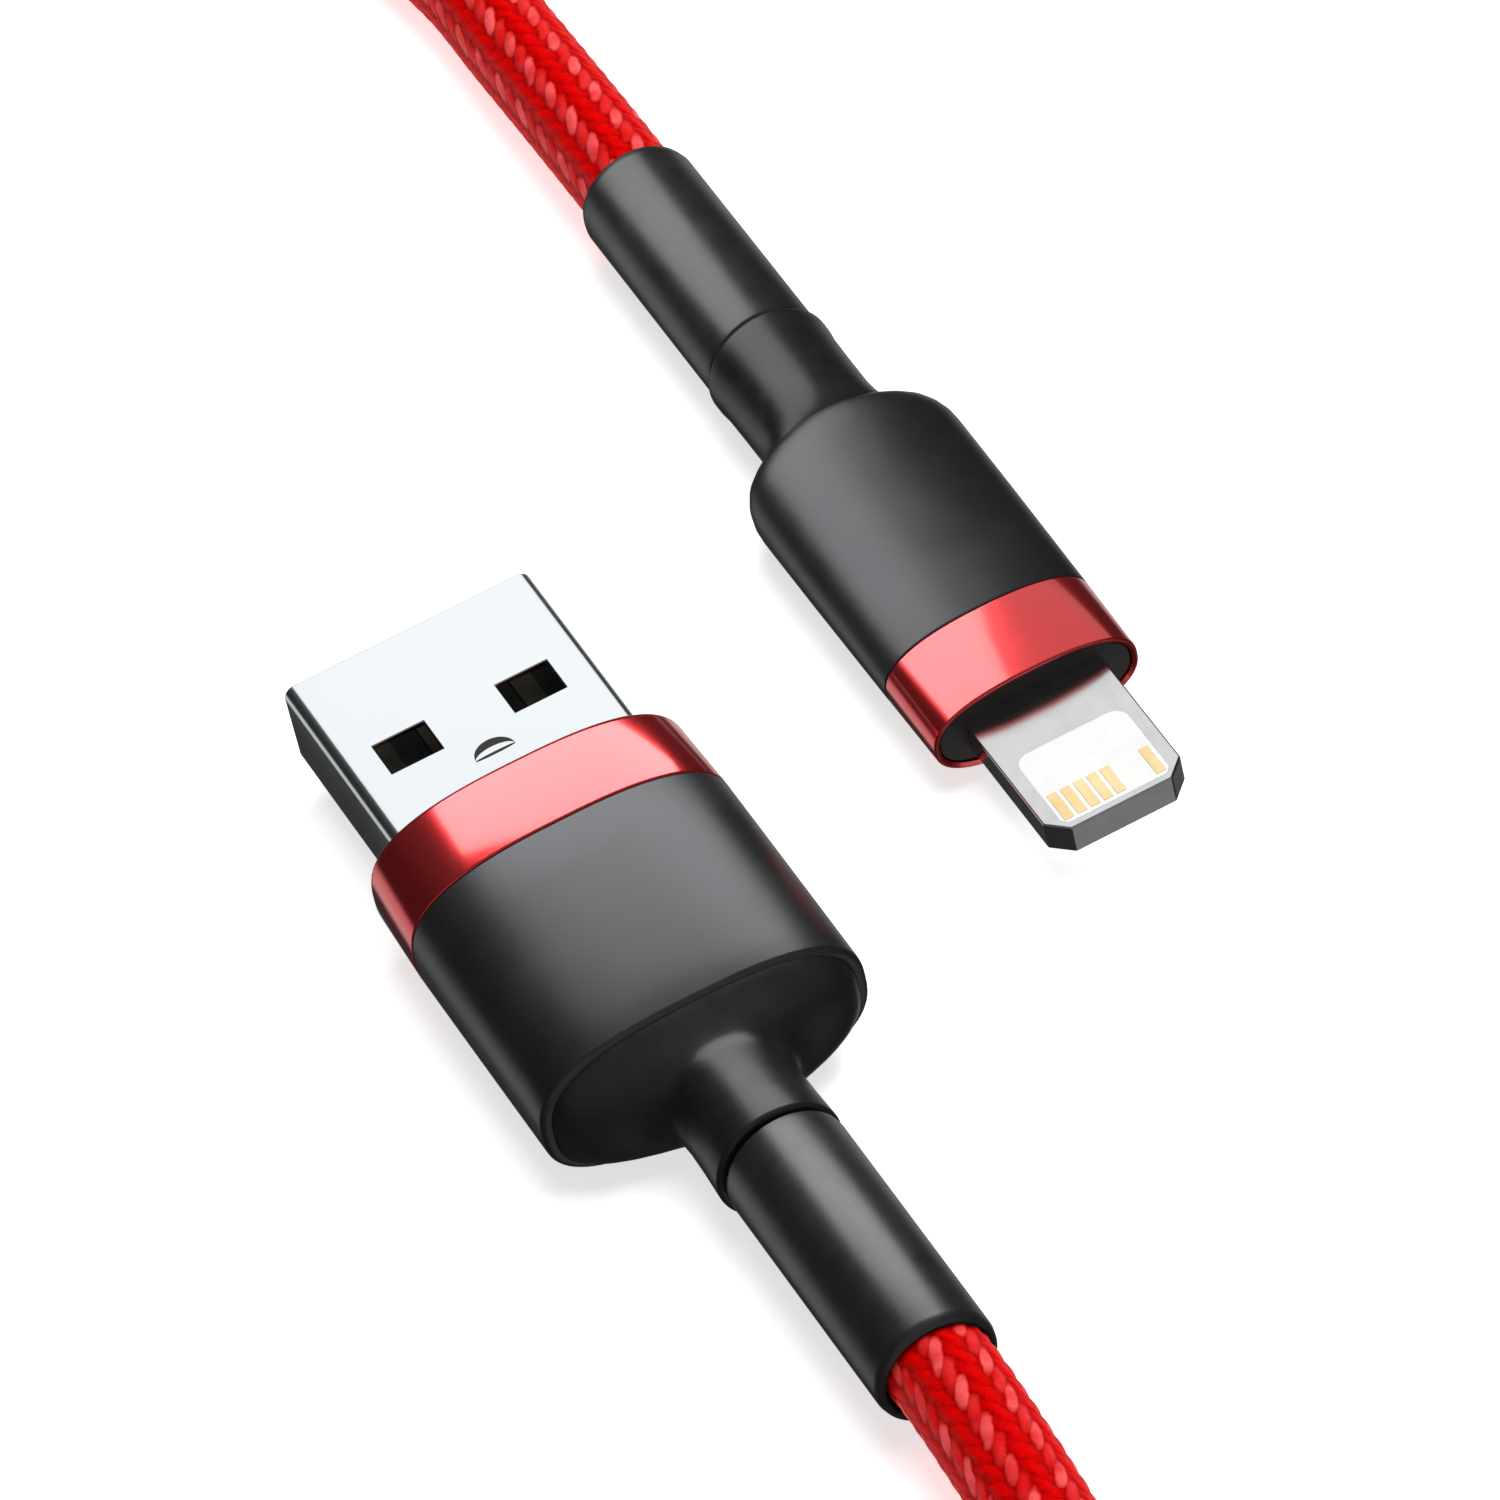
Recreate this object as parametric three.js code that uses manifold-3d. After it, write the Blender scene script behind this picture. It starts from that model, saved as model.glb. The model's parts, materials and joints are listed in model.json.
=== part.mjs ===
// Charging cable: a USB-A plug and a small reversible tab plug on one braided cord.
// Millimetres, +Z up.  Both plugs lie flat; the spare cord is put away in a tied coil.
import * as THREE from 'three';
import { mergeVertices } from 'three/addons/utils/BufferGeometryUtils.js';
import Module from 'manifold-3d';

const wasm = await Module();
wasm.setup();

// ---------- driving dimensions ----------
const LAYOUT_TURN = THREE.MathUtils.degToRad(20);   // the whole layout, turned about Z
const GAP = 0.04;                                   // clean gap between fitted pieces
const CORD_DIAMETER = 4.6;

const USB = {
  axisZ: 4.0,
  tipX: 22, collarX: 11, seamX: 6.4, rimX: -5.9, capX: -9, neckX: -12.7,
  reliefX: -13.2, reliefEndX: -26.8,
  shellWidth: 12.0, shellHeight: 4.5, shellWall: 0.3, shellCorner: 0.55,
  windowWidth: 2.5, windowLength: 1.95, windowY: 3.0, windowX: 15.7,
  tongueHeight: 1.85, contactWidth: 1.0, contactPitch: 2.3,
};

const TAB = {
  axisZ: 2.95, axisY: -21.4,
  tipX: -3.3, faceX: 4.6, seamX: 9.1, rimX: 22.9, neckX: 24.4, neckEndX: 29.9,
  reliefX: 30.4, reliefEndX: 42.8,
  width: 6.7, height: 1.5, cornerCut: 0.9,
  insulatorStartX: -3.0, insulatorEndX: 1.7, insulatorWidth: 5.4, insulatorCorner: 0.3,
  padPitch: 0.64, padWidth: 0.46, padLength: 1.7, padX: -1.9, padDepth: 0.15,
};

const COIL = { x: -55, y: 32, innerRadius: 18.3, outerRadius: 27.7, height: 10.4 };
const TIE = { width: 6, thickness: 0.8, turnDeg: 135 };

// Cord centre lines outside the plugs, hand placed: x, y, z.
const USB_RUN = [
  [-27.1, -0.2, 4.0], [-31, -0.2, 3.6], [-35.5, -0.1, 2.9], [-40, 0.2, 2.4],
  [-49.5, 0.6, 2.4], [-55.8, 1.2, 2.6],
];
const PHONE_RUN = [
  [-33.4, 53.8, 5.2], [-26.5, 50.5, 3.8], [-18.5, 46.3, 2.7], [-11, 42.6, 2.4],
  [10, 36, 2.4], [32, 28, 2.4], [52, 20, 2.4], [65, 14.2, 2.4], [69.5, 9.4, 2.4],
  [74.1, 3.9, 2.4], [76.8, -2.5, 2.4], [76.5, -9.4, 2.4], [73.3, -15.6, 2.4],
  [67.8, -19.8, 2.4], [61, -21.3, 2.4], [55, -21.4, 2.5], [49, -21.4, 2.8],
  [43.1, -21.4, 2.95],
];

// ---------- looks ----------
const looks = {
  steel: { color: 0xdfe2e5, roughness: 0.22, metalness: 1.0 },
  greyMetal: { color: 0xc4c6c8, roughness: 0.3, metalness: 1.0 },
  gold: { color: 0xe2c98f, roughness: 0.3, metalness: 1.0 },
  red: { color: 0xd0101c, roughness: 0.18, metalness: 1.0 },
  black: { color: 0x17181a, roughness: 0.35, metalness: 0.0 },
  darkFace: { color: 0x241f1f, roughness: 0.4, metalness: 0.0 },
  white: { color: 0xf1f1ee, roughness: 0.5, metalness: 0.0 },
  braid: { color: 0xc80f14, roughness: 0.8, metalness: 0.0 },
};

// ---------- helpers ----------
function toManifold(geometry) {
  let plain = geometry.index ? geometry.toNonIndexed() : geometry.clone();
  plain.deleteAttribute('normal');
  plain.deleteAttribute('uv');
  plain = mergeVertices(plain, 1e-4);
  return new wasm.Manifold(new wasm.Mesh({
    numProp: 3,
    vertProperties: new Float32Array(plain.attributes.position.array),
    triVerts: new Uint32Array(plain.index.array),
  }));
}

function toGeometry(solid) {
  const mesh = solid.getMesh();
  const geometry = new THREE.BufferGeometry();
  const positions = new Float32Array(mesh.vertProperties);
  geometry.setAttribute('position', new THREE.BufferAttribute(positions, 3));
  geometry.setIndex(new THREE.BufferAttribute(new Uint32Array(mesh.triVerts), 1));
  geometry.computeVertexNormals();
  return geometry;
}

function cut(geometry, ...tools) {
  let solid = toManifold(geometry);
  for (const tool of tools) solid = solid.subtract(toManifold(tool));
  return toGeometry(solid);
}

function box(x0, x1, y0, y1, z0, z1) {
  const geometry = new THREE.BoxGeometry(x1 - x0, y1 - y0, z1 - z0);
  geometry.translate((x0 + x1) / 2, (y0 + y1) / 2, (z0 + z1) / 2);
  return geometry;
}

// Rounded rectangle bar running along X.
function roundedBar(x0, x1, width, height, corner, y, z) {
  const w = width / 2;
  const h = height / 2;
  const shape = new THREE.Shape();
  shape.moveTo(-w + corner, -h);
  shape.lineTo(w - corner, -h);
  shape.absarc(w - corner, -h + corner, corner, -Math.PI / 2, 0);
  shape.lineTo(w, h - corner);
  shape.absarc(w - corner, h - corner, corner, 0, Math.PI / 2);
  shape.lineTo(-w + corner, h);
  shape.absarc(-w + corner, h - corner, corner, Math.PI / 2, Math.PI);
  shape.lineTo(-w, -h + corner);
  shape.absarc(-w + corner, -h + corner, corner, Math.PI, Math.PI * 1.5);
  const geometry = new THREE.ExtrudeGeometry(shape, {
    depth: x1 - x0, bevelEnabled: false, curveSegments: 5,
  });
  geometry.rotateX(Math.PI / 2);
  geometry.rotateZ(Math.PI / 2);
  geometry.translate(x0, y, z);
  return geometry;
}

// Loft along X through rounded-box sections { x, w, h, n } (half width, half height,
// squareness).  flat cuts the crown level at that half height.
function loft(stations, y, z, flat = Infinity, sides = 48) {
  const ordered = [...stations].sort((p, q) => p.x - q.x);
  const positions = [];
  const index = [];
  for (const s of ordered) {
    for (let i = 0; i < sides; i++) {
      const angle = (i / sides) * Math.PI * 2;
      const c = Math.cos(angle);
      const q = Math.sin(angle);
      const dy = s.w * Math.sign(c) * Math.abs(c) ** (2 / s.n);
      const dz = s.h * Math.sign(q) * Math.abs(q) ** (2 / s.n);
      positions.push(s.x, y + dy, z + Math.max(-flat, Math.min(flat, dz)));
    }
  }
  for (let k = 0; k < ordered.length - 1; k++) {
    for (let i = 0; i < sides; i++) {
      const j = (i + 1) % sides;
      const a = k * sides + i;
      const b = k * sides + j;
      index.push(a, b, b + sides, a, b + sides, a + sides);
    }
  }
  const first = positions.length / 3;
  positions.push(ordered[0].x, y, z);
  const last = first + 1;
  const end = (ordered.length - 1) * sides;
  positions.push(ordered[ordered.length - 1].x, y, z);
  for (let i = 0; i < sides; i++) {
    const j = (i + 1) % sides;
    index.push(first, j, i, last, end + i, end + j);
  }
  const geometry = new THREE.BufferGeometry();
  geometry.setAttribute('position', new THREE.Float32BufferAttribute(positions, 3));
  geometry.setIndex(index);
  geometry.computeVertexNormals();
  return geometry;
}

function round(x, r) {
  return { x, w: r, h: r, n: 2 };
}

function tube(points) {
  const path = new THREE.CatmullRomCurve3(points.map((p) => new THREE.Vector3(...p)));
  const circle = new THREE.Shape();
  circle.absarc(0, 0, CORD_DIAMETER / 2, 0, Math.PI * 2);
  const steps = Math.min(60, Math.ceil(path.getLength() / 5));
  return new THREE.ExtrudeGeometry(circle, {
    steps, extrudePath: path, bevelEnabled: false, curveSegments: 5,
  });
}

const layout = new THREE.Group();
layout.rotation.z = LAYOUT_TURN;

function add(name, look, geometry) {
  const mesh = new THREE.Mesh(geometry, new THREE.MeshStandardMaterial(looks[look]));
  mesh.name = name;
  layout.add(mesh);
}

// ---------- USB plug ----------
function usbShell() {
  const wall = USB.shellWall;
  const outer = roundedBar(7.4, USB.tipX, USB.shellWidth, USB.shellHeight,
    USB.shellCorner, 0, USB.axisZ);
  const inner = roundedBar(7.0, USB.tipX + 1, USB.shellWidth - 2 * wall,
    USB.shellHeight - 2 * wall, USB.shellCorner - 0.2, 0, USB.axisZ);
  const windows = [];
  for (const side of [-1, 1]) {
    const x0 = USB.windowX - USB.windowLength / 2;
    const y0 = side * USB.windowY - USB.windowWidth / 2;
    windows.push(box(x0, x0 + USB.windowLength, y0, y0 + USB.windowWidth, 1, 7));
  }
  return cut(outer, inner, ...windows);
}

function usbTongue() {
  const half = USB.shellWidth / 2 - USB.shellWall - 0.35;
  const floor = USB.axisZ - USB.shellHeight / 2 + USB.shellWall + GAP;
  const top = floor + USB.tongueHeight;
  const block = box(8, USB.tipX - 0.4, -half, half, floor, top);
  const slots = usbContactRows().map((y) => box(
    9, USB.tipX - 1.1, y - USB.contactWidth / 2 - GAP, y + USB.contactWidth / 2 + GAP,
    top - 0.2, top + 1));
  return { block: cut(block, ...slots), top };
}

function usbContactRows() {
  return [-1.5, -0.5, 0.5, 1.5].map((step) => step * USB.contactPitch);
}

function addUsbPlug() {
  add('usb_shell', 'steel', usbShell());
  const { block, top } = usbTongue();
  add('usb_tongue', 'darkFace', block);
  usbContactRows().forEach((y, i) => {
    const half = USB.contactWidth / 2;
    add(`usb_contact_${i + 1}`, 'gold',
      box(9.1, USB.tipX - 1.2, y - half, y + half, top - 0.16, top + 0.06));
  });
  const shellHole = roundedBar(5, 14, USB.shellWidth + 2 * GAP, USB.shellHeight + 2 * GAP,
    USB.shellCorner, 0, USB.axisZ);
  const collar = loft([
    { x: USB.collarX, w: 7.2, h: 3.5, n: 2.7 },
    { x: USB.collarX - 0.2, w: 7.45, h: 3.75, n: 2.7 },
    { x: USB.collarX - 0.5, w: 7.6, h: 3.87, n: 2.7 },
    { x: USB.seamX + GAP, w: 7.75, h: 4.06, n: 2.7 },
  ], 0, USB.axisZ, 4.0);
  add('usb_collar', 'red', cut(collar, shellHole));
  const body = loft([
    { x: USB.seamX, w: 7.75, h: 4.06, n: 2.7 },
    { x: USB.rimX + 0.5, w: 7.75, h: 4.06, n: 2.7 },
    { x: USB.rimX, w: 7.4, h: 3.72, n: 2.7 },
  ], 0, USB.axisZ, 4.0);
  const core = roundedBar(USB.rimX - 1, 7, 12.6, 5.4, 1.2, 0, USB.axisZ);
  add('usb_housing', 'black', cut(body, core));
  add('usb_inner_mould', 'white', roundedBar(USB.rimX + 0.1, USB.seamX - 0.05, 12.5, 5.3,
    1.2, 0, USB.axisZ));
  add('usb_rear_cap', 'black', loft([
    { x: USB.rimX - GAP, w: 7.2, h: 3.62, n: 2.7 },
    { x: USB.rimX - 0.7, w: 6.6, h: 3.58, n: 2.5 },
    { x: USB.rimX - 1.5, w: 5.5, h: 3.5, n: 2.2 },
    { x: USB.rimX - 2.3, w: 4.2, h: 3.4, n: 2 },
    round(USB.capX, 3.3), round(USB.neckX, 3.0),
  ], 0, USB.axisZ));
  add('usb_strain_relief', 'black', loft([
    round(USB.reliefX + 0.4, 2.7), round(USB.reliefX, 2.85), round(USB.reliefEndX + 0.5, 2.85),
    round(USB.reliefEndX + 0.15, 2.7), round(USB.reliefEndX, 2.4),
  ], -0.1, USB.axisZ));
}

// ---------- tab plug ----------
// Flat plate standing in the tab's place, its two front corners cut at 45 degrees.
function plate(x0, x1, width, corner, height) {
  const half = width / 2;
  const shape = new THREE.Shape();
  shape.moveTo(x0, -half + corner);
  shape.lineTo(x0 + corner, -half);
  shape.lineTo(x1, -half);
  shape.lineTo(x1, half);
  shape.lineTo(x0 + corner, half);
  shape.lineTo(x0, half - corner);
  shape.closePath();
  const geometry = new THREE.ExtrudeGeometry(shape, { depth: height, bevelEnabled: false });
  geometry.translate(0, TAB.axisY, TAB.axisZ - height / 2);
  return geometry;
}

function padRows() {
  // Eight places across; places 6 and 7 are left empty.
  return [1, 2, 3, 4, 5, 8].map((place) => ({
    place, y: TAB.axisY + (place - 4.5) * TAB.padPitch * -1,
  }));
}

function padBox(y, face, grow) {
  const x = TAB.padX;
  const halfL = TAB.padLength / 2 + grow;
  const halfW = TAB.padWidth / 2 + grow;
  const surface = TAB.axisZ + face * (TAB.height / 2 + 0.02);
  const inside = surface - face * (TAB.padDepth + grow);
  const outside = surface + face * (grow > 0 ? 1 : 0);
  return box(x - halfL, x + halfL, y - halfW, y + halfW,
    Math.min(inside, outside), Math.max(inside, outside));
}

function addTabPlug() {
  const y = TAB.axisY;
  const z = TAB.axisZ;
  const tab = plate(TAB.tipX, 7.5, TAB.width, TAB.cornerCut, TAB.height);
  const pocket = plate(TAB.insulatorStartX, TAB.insulatorEndX, TAB.insulatorWidth,
    TAB.insulatorCorner, TAB.height + 2);
  add('tab_frame', 'greyMetal', cut(tab, pocket));
  const insulator = plate(TAB.insulatorStartX + GAP, TAB.insulatorEndX - GAP,
    TAB.insulatorWidth - 2 * GAP, TAB.insulatorCorner, TAB.height);
  const pockets = [];
  for (const face of [1, -1]) {
    for (const pad of padRows()) pockets.push(padBox(pad.y, face, 0.02));
  }
  add('tab_insulator', 'white', cut(insulator, ...pockets));
  for (const [label, face] of [['top', 1], ['bottom', -1]]) {
    for (const pad of padRows()) {
      add(`tab_contact_${label}_${pad.place}`, 'gold', padBox(pad.y, face, 0));
    }
  }
  const tabHole = box(2, 8, y - TAB.width / 2 - GAP, y + TAB.width / 2 + GAP,
    z - TAB.height / 2 - GAP, z + TAB.height / 2 + GAP);
  const faceBlock = loft([
    { x: TAB.faceX + 0.1, w: 4.6, h: 1.75, n: 2.5 }, { x: 7.4, w: 4.6, h: 1.75, n: 2.5 },
  ], y, z);
  add('tab_face', 'darkFace', cut(faceBlock, tabHole));
  const collar = loft([
    { x: TAB.faceX, w: 4.88, h: 2.08, n: 2.5 }, { x: TAB.faceX + 0.3, w: 5.0, h: 2.2, n: 2.45 },
    { x: TAB.seamX - GAP, w: 5.05, h: 2.3, n: 2.4 },
  ], y, z);
  const collarHole = loft([
    { x: 2, w: 4.65, h: 1.8, n: 2.5 }, { x: 12, w: 4.65, h: 1.8, n: 2.5 },
  ], y, z);
  add('tab_collar', 'red', cut(collar, collarHole));
  const body = loft([
    { x: TAB.seamX, w: 5.05, h: 2.3, n: 2.4 }, { x: 15, w: 5.1, h: 2.6, n: 2.4 },
    { x: TAB.rimX - 1.2, w: 5.1, h: 2.9, n: 2.35 }, { x: TAB.rimX, w: 4.4, h: 2.75, n: 2.3 },
  ], y, z);
  const core = roundedBar(6, 24, 7.6, 3, 1, y, z);
  add('tab_housing', 'black', cut(body, core));
  add('tab_inner_mould', 'white', roundedBar(7.6, TAB.rimX - 0.1, 7.5, 2.9, 0.95, y, z));
  add('tab_rear_cap', 'black', loft([
    { x: TAB.rimX + GAP, w: 4.3, h: 2.72, n: 2.3 }, { x: TAB.rimX + 0.4, w: 3.7, h: 2.75, n: 2.2 },
    { x: TAB.rimX + 0.8, w: 3.2, h: 2.85, n: 2.1 },
    round(TAB.neckX, 2.92), round(TAB.neckEndX, 2.92),
  ], y, z));
  add('tab_strain_relief', 'black', loft([
    round(TAB.reliefX - 0.4, 2.65), round(TAB.reliefX, 2.8), round(TAB.reliefEndX - 0.5, 2.8),
    round(TAB.reliefEndX - 0.15, 2.65), round(TAB.reliefEndX, 2.4),
  ], y, z));
}

// ---------- cord, coil and tie ----------
function tieBox(r0, r1, halfWidth, z0, z1) {
  const geometry = box(r0, r1, -halfWidth, halfWidth, z0, z1);
  geometry.rotateZ(THREE.MathUtils.degToRad(TIE.turnDeg));
  geometry.translate(COIL.x, COIL.y, 0);
  return geometry;
}

function addCord() {
  add('cord_usb_run', 'braid', tube(USB_RUN));
  add('cord_phone_run', 'braid', tube(PHONE_RUN));
  const r0 = COIL.innerRadius;
  const r1 = COIL.outerRadius;
  const h = COIL.height;
  const edge = 1.6;
  const section = [
    [r0 + edge, 0], [r1 - edge, 0], [r1, edge], [r1, h - edge], [r1 - edge, h],
    [r0 + edge, h], [r0, h - edge], [r0, edge], [r0 + edge, 0],
  ].map((p) => new THREE.Vector2(p[0], p[1]));
  const ring = new THREE.LatheGeometry(section, 48);
  ring.rotateX(Math.PI / 2);
  ring.translate(COIL.x, COIL.y, 0);
  const half = TIE.width / 2;
  const t = TIE.thickness;
  const channel = tieBox(r0 - 3, r1 + 3, half + 0.1, -1, t + GAP);
  add('cord_coil', 'braid', cut(ring, channel));
  const outer = tieBox(r0 - 0.7 - t, r1 + 0.2 + t, half, 0, h + 0.2 + t);
  const inner = tieBox(r0 - 0.7, r1 + 0.2, half + 1, t, h + 0.2);
  add('cord_tie', 'black', cut(outer, inner));
}

addUsbPlug();
addTabPlug();
addCord();

const cable = new THREE.Group();
cable.name = 'charging_cable';
cable.add(layout);
export default cable;
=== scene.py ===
# Looks for the charging cable: smooth housings, metal shells and a braided cord around
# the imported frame.  Pieces are drawn in layout millimetres and turned into the row frame.
import json
import math

import bmesh
import bpy
from mathutils import Matrix, Vector

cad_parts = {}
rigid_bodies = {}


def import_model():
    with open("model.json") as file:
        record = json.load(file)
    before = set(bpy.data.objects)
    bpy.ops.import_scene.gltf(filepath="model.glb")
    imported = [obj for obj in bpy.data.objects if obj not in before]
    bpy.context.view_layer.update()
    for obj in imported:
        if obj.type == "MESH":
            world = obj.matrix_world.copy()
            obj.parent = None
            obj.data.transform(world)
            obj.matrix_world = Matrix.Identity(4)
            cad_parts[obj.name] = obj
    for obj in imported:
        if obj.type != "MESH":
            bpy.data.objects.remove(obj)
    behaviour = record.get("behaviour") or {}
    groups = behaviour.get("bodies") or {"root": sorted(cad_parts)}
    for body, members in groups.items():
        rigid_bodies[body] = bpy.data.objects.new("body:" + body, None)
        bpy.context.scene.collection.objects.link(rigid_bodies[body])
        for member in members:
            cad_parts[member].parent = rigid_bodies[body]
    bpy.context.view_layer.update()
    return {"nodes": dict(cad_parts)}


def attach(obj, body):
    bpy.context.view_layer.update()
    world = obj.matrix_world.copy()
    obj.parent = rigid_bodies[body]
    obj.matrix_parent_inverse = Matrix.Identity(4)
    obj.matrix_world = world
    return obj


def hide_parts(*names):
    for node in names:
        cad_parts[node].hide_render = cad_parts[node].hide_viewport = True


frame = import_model()

MM = 0.001
LAYOUT_TURN = math.radians(20)
TO_ROW = Matrix.Rotation(LAYOUT_TURN, 4, "Z") @ Matrix.Scale(MM, 4)

# ---------- driving dimensions (layout millimetres) ----------
USB_Z = 4.0
TAB_Y = -21.4
TAB_Z = 2.95
CORD_DIAMETER = 4.6
SPIGOT_RADIUS = 2.0                 # stub of each rear moulding inside its sleeve
USB_OUTLINE = (7.75, 4.0, 2.7)      # half width, half height, squareness
TAB_HALF_HEIGHT = 0.75
INSERT_HALF_HEIGHT = 0.77
PAD_PITCH, PAD_X = 0.64, -1.9
PAD_HALF_LENGTH, PAD_HALF_WIDTH = 0.85, 0.23
PAD_HEIGHT, PAD_HALF_THICKNESS = 0.775, 0.02
PAD_PLACES = (1, 2, 3, 4, 5, 8)
COIL_CENTRE = (-55.0, 32.0)
COIL_LOW, COIL_HIGH = 3.3, 8.1
COIL_WIDE, COIL_TIGHT = 25.4, 20.6

# The cord's middle line, from the USB sleeve to the coil.
USB_RUN = [
    (-24.5, -0.1, 4.0), (-27.1, -0.2, 4.0), (-31, -0.2, 3.6), (-35.5, -0.1, 2.9),
    (-40, 0.2, 2.4), (-49.5, 0.6, 2.4), (-55.8, 1.2, 2.6),
]
# Turns of the coil: turn count, radius, height of the cord's middle.
COIL_KEYS = [
    (0.0, 28.0, 3.1), (0.15, 25.4, COIL_LOW), (0.85, COIL_WIDE, COIL_LOW),
    (1.15, COIL_TIGHT, COIL_LOW), (1.75, COIL_TIGHT, COIL_LOW),
    (2.05, COIL_TIGHT, COIL_HIGH), (2.5, COIL_TIGHT, COIL_HIGH),
    (2.8, COIL_WIDE, COIL_HIGH), (3.45, COIL_WIDE, COIL_HIGH),
]
COIL_START_DEG = -120.0
POINTS_PER_TURN = 24
# The cord's middle line, from the coil to the phone plug's sleeve.
PHONE_RUN = [
    (-42.0, 56.4, 7.0), (-33.4, 53.8, 5.2), (-26.5, 50.5, 3.8), (-18.5, 46.3, 2.7),
    (-11, 42.6, 2.4), (10, 36, 2.4), (32, 28, 2.4), (52, 20, 2.4), (65, 14.2, 2.4),
    (69.5, 9.4, 2.4), (74.1, 3.9, 2.4), (76.8, -2.5, 2.4), (76.5, -9.4, 2.4),
    (73.3, -15.6, 2.4), (67.8, -19.8, 2.4), (61, -21.3, 2.4), (55, -21.4, 2.5),
    (49, -21.4, 2.8), (43.1, -21.4, 2.95), (40.5, -21.4, 2.95),
]
# Braid: columns of floats round the cord, strand pitch along it, depth of the relief and
# the height of the floats, from 0 to 1, that lies at the cord's radius.
BRAID_COLUMNS = 8
BRAID_PITCH = 1.05
BRAID_RELIEF = 0.14
BRAID_LEVEL = 0.75
BRAID_SIDES = 64
STRAND_FLATNESS = 3.4
# Strap round the coil: where it stands, its loop's radii and heights, and its section.
TIE_TURN_DEG = 135
TIE_INNER, TIE_OUTER = 17.6, 28.1
TIE_LOW, TIE_HIGH = 0.45, 10.95
TIE_CORNER = 1.4
TIE_HALF_WIDTH, TIE_HALF_THICKNESS = 2.9, 0.35


# ---------- camera ----------
def add_camera():
    azimuth = math.radians(162.66) + LAYOUT_TURN
    elevation = math.radians(46.22)
    roll = math.radians(-13.91)
    distance = 0.6
    target = TO_ROW @ Vector((12.38, -10.83, 0))
    back = Vector((
        math.cos(elevation) * math.cos(azimuth),
        math.cos(elevation) * math.sin(azimuth),
        math.sin(elevation),
    ))
    level = (-back).cross(Vector((0, 0, 1))).normalized()
    rise = level.cross(-back)
    right = math.cos(roll) * level + math.sin(roll) * rise
    up = -math.sin(roll) * level + math.cos(roll) * rise
    data = bpy.data.cameras.new("camera")
    data.lens = 333.6
    data.sensor_width = 36
    data.clip_start = 0.01
    camera = bpy.data.objects.new("camera", data)
    turn = Matrix((right, up, back)).transposed().to_4x4()
    camera.matrix_world = Matrix.Translation(target + distance * back) @ turn
    bpy.context.scene.collection.objects.link(camera)
    bpy.context.scene.camera = camera


# ---------- small mesh kit ----------
def make_object(name, points, faces, material, sharp_deg=35, uvs=None):
    mesh = bpy.data.meshes.new(name)
    mesh.from_pydata([TO_ROW @ Vector(p) for p in points], [], faces)
    mesh.validate()
    mesh.shade_smooth()
    mesh.set_sharp_from_angle(angle=math.radians(sharp_deg))
    if uvs is not None:
        layer = mesh.uv_layers.new(name="weave")
        for polygon in mesh.polygons:
            for corner, uv in zip(polygon.loop_indices, uvs[polygon.index]):
                layer.data[corner].uv = uv
    piece = bpy.data.objects.new(name, mesh)
    bpy.context.scene.collection.objects.link(piece)
    mesh.materials.append(material)
    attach(piece, "root")
    return piece


def section(w, h, n, sides):
    ring = []
    for i in range(sides):
        angle = 2 * math.pi * i / sides
        c, s = math.cos(angle), math.sin(angle)
        ring.append((
            w * math.copysign(abs(c) ** (2 / n), c),
            h * math.copysign(abs(s) ** (2 / n), s),
        ))
    return ring


def loft(stations, y, z, ends="capped", sides=96):
    """Rings of (x, half width, half height, squareness), joined in the order given."""
    points, faces = [], []
    for x, w, h, n in stations:
        points += [(x, y + dy, z + dz) for dy, dz in section(w, h, n, sides)]
    count = len(stations)
    rounds = count if ends == "looped" else count - 1
    for k in range(rounds):
        for i in range(sides):
            j = (i + 1) % sides
            a, b = k * sides, ((k + 1) % count) * sides
            faces.append((a + i, a + j, b + j, b + i))
    if ends == "capped":
        faces.append(tuple(range(sides))[::-1])
        faces.append(tuple(range((count - 1) * sides, count * sides)))
    return points, faces


def rounded_end(x, direction, w, h, n, radius, steps=6):
    """Stations that roll over the edge at x; direction +1 for a +X end."""
    out = []
    for k in range(steps + 1):
        t = math.pi / 2 * k / steps
        inset = radius * (1 - math.cos(t))
        along = radius * (1 - math.sin(t))
        out.append((x - direction * along, w - inset, h - inset, n))
    return out


def rolled_body(x_low, low, x_high, high, radius_low, radius_high, between=()):
    """Closed body between two ends, each (w, h, n), with rolled edges."""
    start = rounded_end(x_low, -1, *low, radius_low)[::-1]
    finish = rounded_end(x_high, 1, *high, radius_high)
    return start + list(between) + finish


def round_station(x, r):
    return (x, r, r, 2)


def add_loft(name, stations, y, z, material, replaces, ends="capped"):
    points, faces = loft(stations, y, z, ends)
    piece = make_object(name, points, faces, material)
    fix_normals(piece)
    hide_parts(replaces)
    return piece


def fix_normals(piece):
    work = bmesh.new()
    work.from_mesh(piece.data)
    bmesh.ops.recalc_face_normals(work, faces=work.faces)
    work.to_mesh(piece.data)
    work.free()


def bevel(piece, width, segments=3, angle_deg=40):
    modifier = piece.modifiers.new("bevel", "BEVEL")
    modifier.width = width * MM
    modifier.segments = segments
    modifier.limit_method = "ANGLE"
    modifier.angle_limit = math.radians(angle_deg)
    modifier.harden_normals = True


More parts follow.
